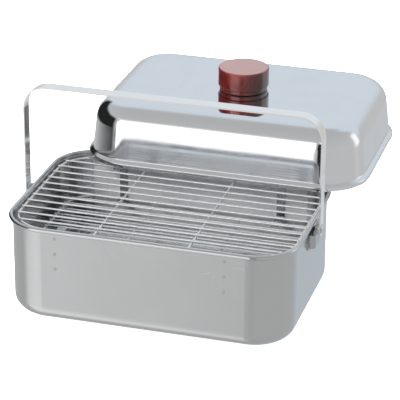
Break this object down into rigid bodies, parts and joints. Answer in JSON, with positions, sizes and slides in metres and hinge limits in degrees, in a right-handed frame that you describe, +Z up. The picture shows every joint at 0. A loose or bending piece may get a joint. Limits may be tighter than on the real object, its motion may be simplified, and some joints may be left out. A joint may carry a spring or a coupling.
{
  "type": "box smoker",
  "caption": "Low rectangular stainless box smoker: drawn pan with rounded corners, wire grills, drip tray, swinging carrying bail and a lift-off lid with a wooden knob.",
  "frame": {"origin": "middle of the pan's flat underside", "axes": "+X along the pan's long side (to the right, seen from the front), +Y to the rear, +Z up"},
  "size_m": [0.3825, 0.434, 0.24],
  "materials": {
    "pan_steel": "satin drawn stainless steel",
    "lid_steel": "mirror-polished stainless steel",
    "bail_steel": "polished stainless strap",
    "bracket_steel": "mill-finish stainless sheet",
    "wire_chrome": "bright-plated steel wire",
    "weld_steel": "heat-tinted spot-weld mark",
    "rivet_steel": "bright stainless rivet and screw",
    "tray_steel": "satin stainless sheet",
    "knob_wood": "dark red-brown lacquer, glossy",
    "insert_brass": "machined brass"
  },
  "bodies": {
    "pan": {"body_pan": "pan_steel", "front_left_bracket": "bracket_steel", "front_right_bracket": "bracket_steel", "back_left_bracket": "bracket_steel", "back_right_bracket": "bracket_steel", "bracket_spot_welds": "weld_steel", "left_ear": "bracket_steel", "right_ear": "bracket_steel", "ear_spot_welds": "weld_steel", "left_rivet": "rivet_steel", "right_rivet": "rivet_steel", "left_spacer": "rivet_steel", "right_spacer": "rivet_steel"},
    "carrying_bail": {"bail": "bail_steel"},
    "upper_grill": {"upper_grill_frame": "wire_chrome", "upper_grill_long_wires": "wire_chrome", "upper_grill_cross_wires": "wire_chrome"},
    "lower_grill": {"lower_grill_frame": "wire_chrome", "lower_grill_long_wires": "wire_chrome", "lower_grill_cross_wires": "wire_chrome"},
    "tray": {"drip_tray": "tray_steel", "drip_tray_feet": "tray_steel"},
    "lid": {"lid_shell": "lid_steel", "knob": "knob_wood", "knob_insert": "insert_brass", "knob_washer": "rivet_steel", "knob_screw": "rivet_steel"}
  },
  "joints": [
    {"name": "bail_swing", "type": "hinge", "parent": "pan", "child": "carrying_bail", "pos_m": [0, 0, 0.104], "axis": [1, 0, 0], "range_deg": [0, 115]},
    {"name": "upper_grill_lift", "type": "slide", "parent": "pan", "child": "upper_grill", "axis": [0, 0, 1], "range_m": [0, 0.1]},
    {"name": "lower_grill_lift", "type": "slide", "parent": "pan", "child": "lower_grill", "axis": [0, 0, 1], "range_m": [0, 0.035]},
    {"name": "tray_lift", "type": "slide", "parent": "pan", "child": "tray", "axis": [0, 0, 1], "range_m": [0, 0.018]},
    {"name": "lid_lift", "type": "slide", "parent": "upper_grill", "child": "lid", "axis": [0, 0, 1], "range_m": [0, 0.15]}
  ]
}
